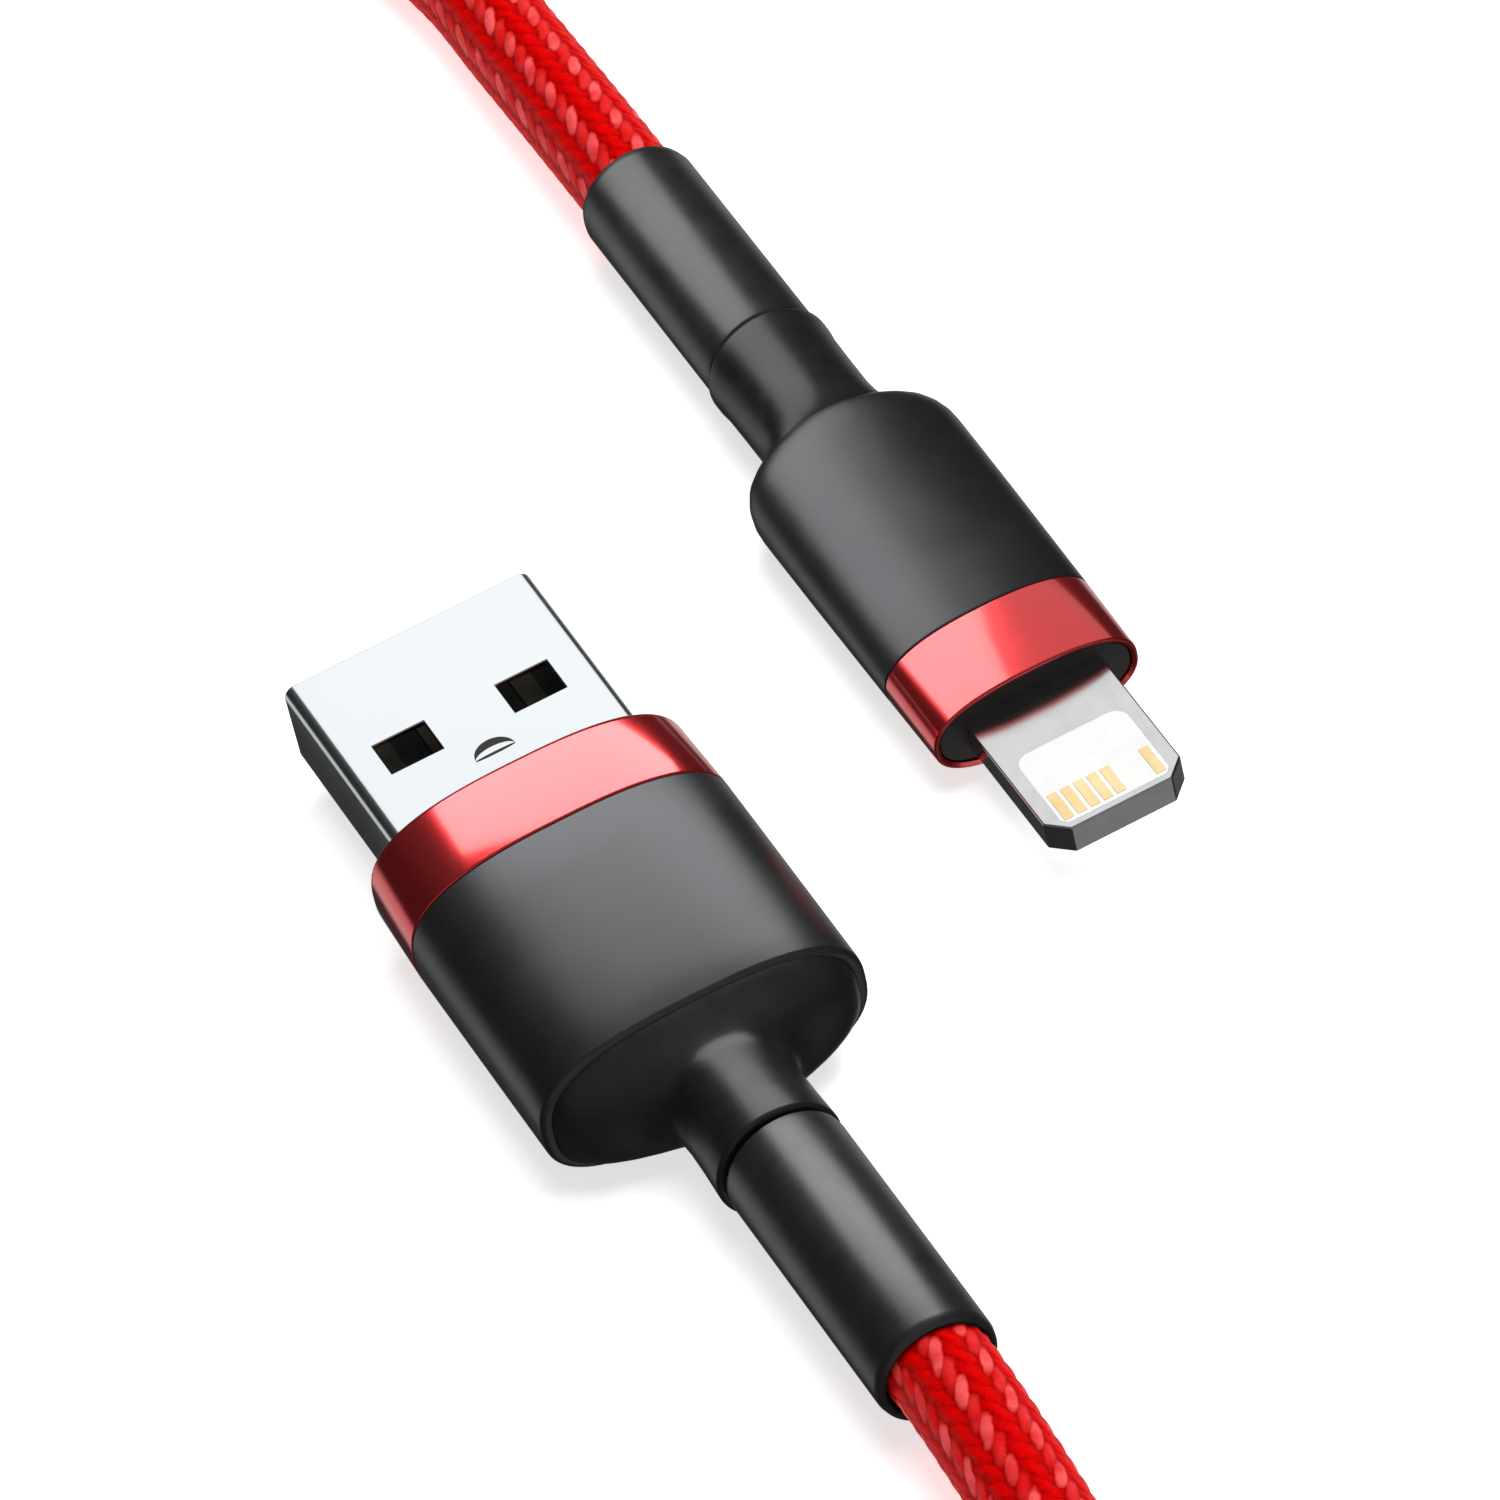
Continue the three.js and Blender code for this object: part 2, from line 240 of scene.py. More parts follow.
# ---------- materials ----------
class Tree:
    """Shorthand for a material's nodes."""

    def __init__(self, name):
        self.material = bpy.data.materials.new(name)
        self.material.use_nodes = True
        self.nodes = self.material.node_tree.nodes
        self.links = self.material.node_tree.links
        self.shader = self.nodes["Principled BSDF"]

    def new(self, kind, **settings):
        node = self.nodes.new(kind)
        for key, value in settings.items():
            setattr(node, key, value)
        return node

    def plug(self, socket, value):
        if isinstance(value, bpy.types.NodeSocket):
            self.links.new(value, socket)
        else:
            socket.default_value = value

    def math(self, operation, a, b=0.0, clamp=False):
        node = self.new("ShaderNodeMath", operation=operation, use_clamp=clamp)
        self.plug(node.inputs[0], a)
        self.plug(node.inputs[1], b)
        return node.outputs[0]

    def noise(self, vector, scale, detail=2.0, roughness=0.5):
        node = self.new("ShaderNodeTexNoise")
        self.plug(node.inputs["Vector"], vector)
        node.inputs["Scale"].default_value = scale
        node.inputs["Detail"].default_value = detail
        node.inputs["Roughness"].default_value = roughness
        return node.outputs["Fac"]

    def ramp(self, factor, stops):
        node = self.new("ShaderNodeValToRGB")
        ramp = node.color_ramp
        while len(ramp.elements) < len(stops):
            ramp.elements.new(0.5)
        for element, (place, colour) in zip(ramp.elements, stops):
            element.position = place
            element.color = (*colour, 1)
        self.plug(node.inputs["Fac"], factor)
        return node.outputs["Color"]

    def span(self, value, low, high, to_low, to_high):
        node = self.new("ShaderNodeMapRange")
        self.plug(node.inputs["Value"], value)
        for socket, number in zip(("From Min", "From Max", "To Min", "To Max"),
                                  (low, high, to_low, to_high)):
            node.inputs[socket].default_value = number
        return node.outputs[0]

    def bump(self, height, distance, strength):
        node = self.new("ShaderNodeBump")
        node.inputs["Distance"].default_value = distance
        node.inputs["Strength"].default_value = strength
        self.plug(node.inputs["Height"], height)
        return node.outputs["Normal"]

    def place(self):
        return self.new("ShaderNodeTexCoord").outputs["Object"]


def surface(name, colour_a, colour_b, roughness, metallic=0.0, mottle=900.0, grain=6000.0,
            grain_depth=0.000004, coat=0.0, coat_roughness=0.05, coat_ior=1.5,
            specular=0.5):
    """A plain finish with faint mottling in colour and gloss and a fine grain."""
    tree = Tree(name)
    place = tree.place()
    cloud = tree.noise(place, mottle, 3.0)
    tree.plug(tree.shader.inputs["Base Color"],
              tree.ramp(cloud, [(0.3, colour_a), (0.7, colour_b)]))
    tree.plug(tree.shader.inputs["Roughness"],
              tree.span(cloud, 0.3, 0.7, roughness * 0.92, roughness * 1.08))
    tree.shader.inputs["Metallic"].default_value = metallic
    tree.shader.inputs["Coat Weight"].default_value = coat
    tree.shader.inputs["Coat Roughness"].default_value = coat_roughness
    tree.shader.inputs["Coat IOR"].default_value = coat_ior
    tree.shader.inputs["Specular IOR Level"].default_value = specular
    fine = tree.noise(place, grain, 2.0)
    tree.plug(tree.shader.inputs["Normal"], tree.bump(fine, grain_depth, 0.5))
    return tree.material


def float_nodes(tree, share, v, middle, slope, shift):
    """Height of the floats in one column, and the number of the nearest strand."""
    across = tree.math("MULTIPLY", tree.math("SUBTRACT", share, middle), 2.0)
    strand = tree.math("ADD", tree.math("MULTIPLY", across, slope), v)
    strand = tree.math("ADD", strand, shift)
    nearest = tree.math("FLOOR", tree.math("ADD", strand, 0.5))
    off = tree.math("SUBTRACT", strand, nearest)
    curve = tree.math("MULTIPLY", tree.math("MULTIPLY", off, off), STRAND_FLATNESS)
    crown = tree.math("SUBTRACT", 1.0, curve, clamp=True)
    dip = tree.math("COSINE", tree.math("MULTIPLY", across, math.pi))
    height = tree.math("ADD", tree.math("MULTIPLY", crown, 0.5),
                       tree.math("MULTIPLY", dip, 0.5))
    return height, nearest


def braid_material():
    """Columns of slanted floats, with a pale pink painted highlight on the crests of every other
    float of one direction. The weave coordinates count columns round the cord and strands along it."""
    tree = Tree("braid_weave")
    uv = tree.new("ShaderNodeUVMap", uv_map="weave").outputs["UV"]
    parts = tree.new("ShaderNodeSeparateXYZ")
    tree.plug(parts.inputs[0], uv)
    wander = tree.math("SUBTRACT", tree.noise(uv, 1.7, 1.0), 0.5)
    u = tree.math("ADD", parts.outputs[0], tree.math("MULTIPLY", wander, 0.22))
    v = tree.math("ADD", parts.outputs[1], tree.math("MULTIPLY", wander, 0.5))
    share = tree.math("FRACT", u)
    light, number = float_nodes(tree, share, v, 0.25, -1.0, 0.0)
    dark, _ = float_nodes(tree, share, v, 0.75, 1.0, 0.5)
    top = tree.math("MAXIMUM", light, dark)
    fibre = tree.noise(tree.place(), 4200.0, 3.0)
    mix = tree.new("ShaderNodeMix", data_type="RGBA")
    tree.plug(mix.inputs["Factor"], painted_highlight_amount(tree, uv, u, light, number, fibre))
    # Painted shade: the red darkens where the floats sink between strands; the fibre noise adds the
    # yarn's own uneven tone.
    shade = tree.math("ADD", tree.math("MULTIPLY", top, 0.62),
                      tree.math("MULTIPLY", fibre, 0.4))
    tree.plug(mix.inputs[6], tree.ramp(shade, [
        (0.2, (0.2, 0.0, 0.0)), (0.5, (0.5, 0.0, 0.0)), (0.85, (0.78, 0.0, 0.0))]))
    # Painted highlight: pale pink where light would glint on the float crests.
    mix.inputs[7].default_value = (0.95, 0.12, 0.12, 1)
    tree.plug(tree.shader.inputs["Base Color"], mix.outputs[2])
    tree.shader.inputs["Roughness"].default_value = 0.6
    tree.shader.inputs["Specular IOR Level"].default_value = 0.12
    tree.shader.inputs["Sheen Weight"].default_value = 0.02
    tree.shader.inputs["Sheen Roughness"].default_value = 0.4
    yarn = tree.math("ADD", top, tree.math("MULTIPLY", fibre, 0.5))
    tree.plug(tree.shader.inputs["Normal"], tree.bump(yarn, 0.00012, 0.7))
    return tree.material


def painted_highlight_amount(tree, uv, u, light, number, fibre):
    """Where the painted highlight shows: on the crests of every other float, unevenly."""
    even = tree.math("FLOORED_MODULO", tree.math("ADD", number, tree.math("FLOOR", u)), 2.0)
    cloud = tree.noise(uv, 0.8, 1.0)
    crest = tree.span(light, 0.42, 0.72, 0.0, 1.0)
    amount = tree.math("MULTIPLY", crest, tree.span(even, 0.0, 1.0, 0.22, 1.0))
    amount = tree.math("MULTIPLY", amount, tree.span(cloud, 0.38, 0.6, 0.35, 1.0), clamp=True)
    return tree.math("MULTIPLY", amount, tree.span(fibre, 0.3, 0.6, 0.8, 1.0), clamp=True)


def make_materials():
    return {
        "steel": surface("plated_steel", (0.74, 0.78, 0.8), (0.77, 0.81, 0.83), 0.2, 1.0,
                         mottle=120.0, grain_depth=0.0000004),
        "tab_metal": surface("grey_plate", (0.62, 0.63, 0.635), (0.7, 0.71, 0.715), 0.2, 1.0,
                             grain_depth=0.000002),
        "gold": surface("pale_gold", (0.8, 0.58, 0.26), (0.9, 0.74, 0.42), 0.28, 0.8),
        "red_metal": surface("red_anodised", (0.86, 0.034, 0.038), (0.9, 0.042, 0.046), 0.2, 0.94,
                             mottle=200.0, grain_depth=0.0000006, coat=1.0,
                             coat_roughness=0.1, coat_ior=1.65),
        "housing": surface("satin_black", (0.082, 0.084, 0.088), (0.098, 0.1, 0.104), 0.36, 0.92,
                           mottle=260.0, grain_depth=0.000003),
        "moulding": surface("moulded_black", (0.006, 0.006, 0.0065), (0.009, 0.009, 0.0095), 0.34,
                            grain_depth=0.000003, specular=0.6),
        "sleeve": surface("rubber_black", (0.008, 0.008, 0.009), (0.011, 0.011, 0.012), 0.34,
                          grain_depth=0.000004, specular=1.0),
        "dark_face": surface("dark_face", (0.016, 0.012, 0.012), (0.022, 0.017, 0.016), 0.4),
        "white": surface("white_insert", (0.9, 0.9, 0.89), (0.95, 0.95, 0.94), 0.35),
        # Painted shade: the gold contacts are darkened to stand in for the shade inside the shell.
        "usb_contact": surface("contact_painted_shade", (0.12, 0.1, 0.07), (0.18, 0.15, 0.1), 0.4, 0.8),
        "tongue": surface("black_tongue", (0.012, 0.01, 0.01), (0.02, 0.017, 0.016), 0.45),
        "inner": surface("inner_mould", (0.6, 0.6, 0.57), (0.7, 0.7, 0.66), 0.5),
        "tie": strap_material(),
        "braid": braid_material(),
    }


def strap_material():
    tree = Tree("loop_strap")
    place = tree.place()
    loops = tree.noise(place, 5200.0, 2.0, 0.7)
    tree.plug(tree.shader.inputs["Base Color"],
              tree.ramp(loops, [(0.3, (0.006, 0.006, 0.007)), (0.7, (0.035, 0.035, 0.038))]))
    tree.shader.inputs["Roughness"].default_value = 0.9
    tree.shader.inputs["Sheen Weight"].default_value = 0.3
    tree.plug(tree.shader.inputs["Normal"], tree.bump(loops, 0.00012, 0.9))
    return tree.material


# ---------- cord ----------
def coil_points():
    points = []
    total = int(COIL_KEYS[-1][0] * POINTS_PER_TURN)
    for i in range(total + 1):
        turn = i / POINTS_PER_TURN
        k = 0
        while k < len(COIL_KEYS) - 2 and turn > COIL_KEYS[k + 1][0]:
            k += 1
        t0, r0, z0 = COIL_KEYS[k]
        t1, r1, z1 = COIL_KEYS[k + 1]
        share = min(1.0, (turn - t0) / (t1 - t0))
        ease = share * share * (3 - 2 * share)
        radius = r0 + (r1 - r0) * ease
        height = z0 + (z1 - z0) * ease
        angle = math.radians(COIL_START_DEG) - 2 * math.pi * turn
        points.append((COIL_CENTRE[0] + radius * math.cos(angle),
                       COIL_CENTRE[1] + radius * math.sin(angle), height))
    return points


def smooth_line(points, step):
    """Hermite line through unevenly spaced points, then walked at an even step."""
    points = [Vector(p) for p in points]
    gaps = [(q - p).length for p, q in zip(points, points[1:])]
    slopes = [(q - p) / gap for p, q, gap in zip(points, points[1:], gaps)]
    tangents = [slopes[0]]
    for before, after, near, far in zip(slopes, slopes[1:], gaps, gaps[1:]):
        tangents.append((before * far + after * near) / (near + far))
    tangents.append(slopes[-1])
    fine = []
    for k, gap in enumerate(gaps):
        pieces = max(4, int(gap / step * 2))
        for i in range(pieces):
            t = i / pieces
            fine.append((1 + 2 * t) * (1 - t) ** 2 * points[k]
                        + t * (1 - t) ** 2 * gap * tangents[k]
                        + t ** 2 * (3 - 2 * t) * points[k + 1]
                        + t ** 2 * (t - 1) * gap * tangents[k + 1])
    fine.append(points[-1])
    length = sum((q - p).length for p, q in zip(fine, fine[1:]))
    count = round(length / step)
    even, target, walked = [fine[0]], length / count, 0.0
    for p, q in zip(fine, fine[1:]):
        gap = (q - p).length
        while walked + gap >= target * len(even) - 1e-9 and len(even) < count:
            share = (target * len(even) - walked) / gap
            even.append(p + (q - p) * share)
        walked += gap
    even.append(fine[-1])
    return even, length


def float_height(share, v, middle, slope, shift):
    """The same height as float_nodes, for the mesh."""
    across = (share - middle) * 2
    strand = across * slope + v + shift
    off = strand - math.floor(strand + 0.5)
    return 0.5 * max(0.0, 1 - STRAND_FLATNESS * off * off) + 0.5 * math.cos(math.pi * across)


def weave_height(u, v):
    share = u - math.floor(u)
    return max(float_height(share, v, 0.25, -1, 0.0), float_height(share, v, 0.75, 1, 0.5))


def braided_tube(line, length):
    """Tube round the line with the floats in relief, and its weave coordinates."""
    count, sides = len(line), BRAID_SIDES
    points, faces, uvs = [], [], []
    along = [length * k / (count - 1) / BRAID_PITCH for k in range(count)]
    around = [BRAID_COLUMNS * i / sides for i in range(sides + 1)]
    side = Vector((0, 0, 1)).cross(line[1] - line[0]).normalized()
    for k, centre in enumerate(line):
        ahead = (line[min(k + 1, count - 1)] - line[max(k - 1, 0)]).normalized()
        side = (side - ahead * side.dot(ahead)).normalized()
        up = ahead.cross(side)
        for i in range(sides):
            angle = 2 * math.pi * i / sides
            lift = BRAID_RELIEF * (weave_height(around[i], along[k]) - BRAID_LEVEL)
            radius = CORD_DIAMETER / 2 + lift
            points.append(centre + (side * math.cos(angle) + up * math.sin(angle)) * radius)
    for k in range(count - 1):
        a, b = k * sides, (k + 1) * sides
        v0, v1 = along[k], along[k + 1]
        for i in range(sides):
            j = (i + 1) % sides
            u0, u1 = around[i], around[i + 1]
            faces.append((a + i, a + j, b + j, b + i))
            uvs.append(((u0, v0), (u1, v0), (u1, v1), (u0, v1)))
    last = (count - 1) * sides
    faces.append(tuple(range(sides))[::-1])
    faces.append(tuple(range(last, last + sides)))
    uvs += [((0, 0),) * sides, ((0, 0),) * sides]
    return points, faces, uvs


def add_cord(materials):
    line, length = smooth_line(USB_RUN + coil_points() + PHONE_RUN, BRAID_PITCH / 4)
    points, faces, uvs = braided_tube(line, length)
    cord = make_object("braided_cord", points, faces, materials["braid"],
                       sharp_deg=80, uvs=uvs)
    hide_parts("cord_usb_run", "cord_phone_run", "cord_coil")
    cord.visible_glossy = False
    tie = add_tie(materials)
    # Open: "medium" suits this cord better, but its coil covers too much floor for that.
    print("cord length mm", round(length, 1))


def tie_outline():
    """Rounded rectangle (radius, height) round one side of the coil."""
    outward, inward = TIE_OUTER - TIE_CORNER, TIE_INNER + TIE_CORNER
    bottom, top = TIE_LOW + TIE_CORNER, TIE_HIGH - TIE_CORNER
    outline = []
    for radius, height, start in ((outward, bottom, -90), (outward, top, 0),
                                  (inward, top, 90), (inward, bottom, 180)):
        for k in range(7):
            angle = math.radians(start + 15 * k)
            outline.append((radius + TIE_CORNER * math.cos(angle),
                            height + TIE_CORNER * math.sin(angle)))
    return outline


def add_tie(materials):
    """A flat strap closed round the coil."""
    turn = math.radians(TIE_TURN_DEG)
    loop = tie_outline()
    points, faces = [], []
    count = len(loop)
    for i, (r, z) in enumerate(loop):
        before, after = loop[i - 1], loop[(i + 1) % count]
        run = Vector((after[0] - before[0], after[1] - before[1])).normalized()
        out = Vector((run.y, -run.x)) * TIE_HALF_THICKNESS
        for width in (-TIE_HALF_WIDTH, TIE_HALF_WIDTH):
            for way in (-1, 1):
                rr, zz = r + way * out.x, z + way * out.y
                points.append((COIL_CENTRE[0] + rr * math.cos(turn) - width * math.sin(turn),
                               COIL_CENTRE[1] + rr * math.sin(turn) + width * math.cos(turn),
                               zz))
    for i in range(count):
        a, b = 4 * i, 4 * ((i + 1) % count)
        for s, t in ((0, 1), (1, 3), (3, 2), (2, 0)):
            faces.append((a + s, a + t, b + t, b + s))
    tie = make_object("cord_strap", points, faces, materials["tie"])
    fix_normals(tie)
    bevel(tie, 0.12)
    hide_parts("cord_tie")
    return tie


# ---------- USB plug ----------
SHELL_X0, SHELL_X1 = 7.4, 22.0
SHELL_W, SHELL_H, SHELL_WALL, SHELL_CORNER = 6.0, 2.25, 0.3, 0.55
WINDOW_X = (14.725, 16.675)
WINDOW_Y = (1.75, 4.25)
STAMP_X, STAMP_HALF_WIDTH = 13.15, 0.95


def shell_profile(inset):
    """Rounded rectangle (y, z) with points at the window edges, top face first."""
    corner = SHELL_CORNER - inset * 0.7
    w, h = SHELL_W - inset, SHELL_H - inset
    outline = []
    flats = [WINDOW_Y[1], WINDOW_Y[0], 0.0, -WINDOW_Y[0], -WINDOW_Y[1]]
    for sign in (1, -1):
        outline += [(sign * y, sign * h) for y in flats]
        for k in range(7):
            a = math.radians(90 + 15 * k)
            outline.append((sign * (-w + corner + corner * math.cos(a)),
                            sign * (h - corner + corner * math.sin(a))))
        for k in range(7):
            a = math.radians(180 + 15 * k)
            outline.append((sign * (-w + corner + corner * math.cos(a)),
                            sign * (-h + corner + corner * math.sin(a))))
    return outline


def add_usb_shell(materials):
    xs = [SHELL_X0, 11.0, 13.0, WINDOW_X[0], WINDOW_X[1], 19.0, SHELL_X1]
    window_step = xs.index(WINDOW_X[0])
    skins = [shell_profile(0.0), shell_profile(SHELL_WALL)]
    count = len(skins[0])
    half = count // 2
    holes = set()
    for start in (0, half):
        holes |= {(window_step, start), (window_step, start + 3)}
    points = []
    for outline in skins:
        for x in xs:
            points += [(x, y, USB_Z + z) for y, z in outline]

    def index(skin, k, i):
        return (skin * len(xs) + k) * count + i % count

    faces = []
    for k in range(len(xs) - 1):
        for i in range(count):
            if (k, i) in holes:
                corners = [(k, i), (k, i + 1), (k + 1, i + 1), (k + 1, i)]
                for (ka, ia), (kb, ib) in zip(corners, corners[1:] + corners[:1]):
                    faces.append((index(0, ka, ia), index(0, kb, ib),
                                  index(1, kb, ib), index(1, ka, ia)))
                continue
            for skin in (0, 1):
                faces.append((index(skin, k, i), index(skin, k, i + 1),
                              index(skin, k + 1, i + 1), index(skin, k + 1, i)))
    for k in (0, len(xs) - 1):
        for i in range(count):
            faces.append((index(0, k, i), index(0, k, i + 1),
                          index(1, k, i + 1), index(1, k, i)))
    shell = make_object("usb_shell_sheet", points, faces, materials["steel"], 30)
    fix_normals(shell)
    bevel(shell, 0.06, 2, 50)
    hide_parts("usb_shell")
    add_stamp_shade_bars(materials)


def add_stamp_shade_bars(materials):
    """Half-moon stamped into the top of the shell, drawn as painted shade: thin black bars for the
    shaded deep arc and fine chord of the stamp.
    """
    for name, back, front in (("arc", 0.42, 0.84), ("chord", -0.07, 0.06)):
        points, faces = crescent(STAMP_X, STAMP_HALF_WIDTH, back, front, USB_Z + SHELL_H)
        # Black bars on the bright steel: painted shade along the stamp's edges.
        shade_bar = make_object(f"usb_shell_stamp_shade_{name}", points, faces, materials["tongue"],
                           60)
        fix_normals(shade_bar)


def crescent(x, half, back, front, top, steps=24):
    """Thin bar between two arches that rise by back and front toward the tip."""
    points, faces = [], []
    for k in range(steps + 1):
        angle = math.pi * k / steps
        rise = math.sin(angle)
        near, far = x + back * rise - 0.01, x + front * rise + 0.01
        for px, pz in ((near, top - 0.05), (near, top + 0.01),
                       (far, top + 0.01), (far, top - 0.05)):
            points.append((px, half * math.cos(angle), pz))
    for k in range(steps):
        for s in range(4):
            a, b = 4 * k + s, 4 * k + (s + 1) % 4
            faces.append((a, b, b + 4, a + 4))
    faces += [(0, 1, 2, 3), tuple(4 * steps + s for s in (3, 2, 1, 0))]
    return points, faces


def add_usb_body(materials):
    collar = rolled_body(6.42, USB_OUTLINE, 11.0, (7.62, 3.88, 2.7), 0.1, 0.45)
    collar += [(10.98, 6.25, 2.5, 5), (10.6, 6.05, 2.3, 6), (6.6, 6.05, 2.3, 6)]
    add_loft("usb_collar_ring", collar, 0, USB_Z, materials["red_metal"],
             "usb_collar", ends="looped")
    crown = [(-4.2, 7.75, 3.9, 2.7), (-2, 7.75, 3.95, 2.7), (1, 7.75, 3.99, 2.7),
             (3.5, 7.75, 4.0, 2.7)]
    body = rolled_body(-5.9, (7.75, 3.83, 2.7), 6.38, USB_OUTLINE, 0.28, 0.1, crown)
    add_loft("usb_housing_body", body, 0, USB_Z, materials["housing"], "usb_housing")
    cap = [
        (-5.7, 7.3, 3.66, 2.7), (-5.92, 7.28, 3.6, 2.7), (-6.25, 7.12, 3.4, 2.65),
        (-6.6, 6.8, 3.2, 2.6), (-6.95, 6.3, 3.02, 2.5), (-7.25, 5.6, 2.88, 2.4),
        (-7.5, 4.8, 2.78, 2.25), (-7.7, 4.1, 2.74, 2.1), (-7.95, 3.5, 2.74, 2.0),
        (-8.3, 3.1, 2.77, 2.0), (-8.8, 2.92, 2.82, 2.0), (-9.6, 2.87, 2.86, 2.0),
        (-11.0, 2.9, 2.92, 2.0),
    ]
    cap += rounded_end(-12.8, -1, 2.98, 2.98, 2, 0.22)
    cap += [round_station(-12.8, SPIGOT_RADIUS), round_station(-14.5, SPIGOT_RADIUS)]
    add_loft("usb_rear_moulding", cap, 0, USB_Z, materials["moulding"], "usb_rear_cap")
    add_sleeve("usb_sleeve", -26.8, -12.9, 2.85, -0.1, USB_Z, materials, "usb_strain_relief", 1)


def add_sleeve(name, x_open, x_plug, radius, y, z, materials, replaces, way):
    """Moulded sleeve with a rolled lip where the cord leaves it.  way is +1 when the
    plug end lies toward +X."""
    lip = [
        (x_open + way * 1.6, 2.36), (x_open + way * 0.25, 2.38), (x_open + way * 0.08, 2.44),
        (x_open, 2.56), (x_open + way * 0.06, 2.68), (x_open + way * 0.2, radius - 0.07),
        (x_open + way * 0.5, radius), (x_plug - way * 0.45, radius),
        (x_plug - way * 0.15, radius - 0.05), (x_plug, radius - 0.2), (x_plug, 2.3),
        (x_plug - way * 0.5, 2.2),
    ]
    add_loft(name, [round_station(x, r) for x, r in lip], y, z, materials["sleeve"],
             replaces, ends="looped")


# ---------- tab plug ----------
def plate(x0, x1, width, corner, low, high, back, arc_steps=5):
    """Flat bar with two cut corners at x0 and corners of radius back at x1."""
    half = width / 2
    quarter = [math.pi / 2 * k / arc_steps for k in range(arc_steps + 1)]
    arc = [(x1 - back + back * math.sin(angle), half - back + back * math.cos(angle))
           for angle in quarter]
    outline = [(x0, corner - half), (x0 + corner, -half)]
    outline += [(x, -y) for x, y in arc]
    outline += arc[::-1]
    outline += [(x0 + corner, half), (x0, half - corner)]
    count = len(outline)
    points = [(x, TAB_Y + y, z) for z in (low, high) for x, y in outline]
    faces = [tuple(range(count))[::-1], tuple(range(count, 2 * count))]
    for i in range(count):
        j = (i + 1) % count
        faces.append((i, j, j + count, i + count))
    return points, faces


def add_tab(materials):
    points, faces = plate(-3.3, 7.5, 6.7, 0.9,
                          TAB_Z - TAB_HALF_HEIGHT, TAB_Z + TAB_HALF_HEIGHT, back=0.1)
    tab = make_object("tab_plate", points, faces, materials["tab_metal"])
    fix_normals(tab)
    bevel(tab, 0.16, 3)
    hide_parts("tab_frame")
    points, faces = plate(-2.95, 1.66, 5.32, 0.3,
                          TAB_Z - INSERT_HALF_HEIGHT, TAB_Z + INSERT_HALF_HEIGHT, back=0.7)
    insert = make_object("tab_insert", points, faces, materials["white"])
    fix_normals(insert)
    bevel(insert, 0.03, 2)
    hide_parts("tab_insulator")
    for label, face in (("top", 1), ("bottom", -1)):
        for place in PAD_PLACES:
            add_pad(label, face, place, materials)


def add_pad(label, face, place, materials):
    y = TAB_Y - (place - 4.5) * PAD_PITCH
    z = TAB_Z + face * PAD_HEIGHT
    points = []
    for dz in (-PAD_HALF_THICKNESS, PAD_HALF_THICKNESS):
        for sx, sy in ((-1, -1), (1, -1), (1, 1), (-1, 1)):
            points.append((PAD_X + sx * PAD_HALF_LENGTH, y + sy * PAD_HALF_WIDTH, z + dz))
    faces = [(3, 2, 1, 0), (4, 5, 6, 7), (0, 1, 5, 4), (1, 2, 6, 5), (2, 3, 7, 6), (3, 0, 4, 7)]
    pad = make_object(f"tab_pad_{label}_{place}", points, faces, materials["gold"])
    bevel(pad, 0.012, 2)
    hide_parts(f"tab_contact_{label}_{place}")


def add_tab_body(materials):
    y, z = TAB_Y, TAB_Z
    face = rolled_body(4.75, (4.66, 1.84, 2.5), 7.4, (4.66, 1.84, 2.5), 0.08, 0.05)
    add_loft("tab_front_face", face, y, z, materials["dark_face"], "tab_face")
    collar = rolled_body(4.6, (4.98, 2.2, 2.45), 9.06, (5.05, 2.3, 2.4), 0.12, 0.08)
    collar += [(8.9, 4.7, 1.95, 2.5), (4.7, 4.7, 1.9, 2.5)]
    add_loft("tab_collar_ring", collar, y, z, materials["red_metal"],
             "tab_collar", ends="looped")
    body = rounded_end(9.1, -1, 5.05, 2.3, 2.4, 0.08)[::-1]
    body += [
        (12, 5.07, 2.42, 2.4), (16, 5.1, 2.66, 2.35), (19, 5.1, 2.85, 2.35), (20.8, 5.1, 2.92, 2.35),
        (21.5, 5.06, 2.91, 2.35), (22.1, 4.92, 2.88, 2.3), (22.6, 4.66, 2.82, 2.3),
        (22.95, 4.32, 2.76, 2.25), (23.2, 3.92, 2.7, 2.2), (23.32, 3.5, 2.64, 2.15),
    ]
    add_loft("tab_housing_body", body, y, z, materials["housing"], "tab_housing")
    cap = [
        (22.9, 3.2, 2.4, 2.1), (23.3, 3.46, 2.6, 2.1), (23.55, 3.3, 2.7, 2.05),
        (23.9, 3.14, 2.8, 2.0), (24.4, 2.99, 2.88, 2.0), (25.2, 2.9, 2.92, 2.0),
        (27.0, 2.9, 2.92, 2.0), (28.6, 2.92, 2.93, 2.0), (29.2, 2.99, 2.94, 2.0),
    ]
    cap += rounded_end(29.95, 1, 2.99, 2.94, 2, 0.22)
    cap += [round_station(29.95, SPIGOT_RADIUS), round_station(31.6, SPIGOT_RADIUS)]
    add_loft("tab_rear_moulding", cap, y, z, materials["moulding"], "tab_rear_cap")
    add_sleeve("tab_sleeve", 42.8, 30.05, 2.8, y, z, materials, "tab_strain_relief", -1)


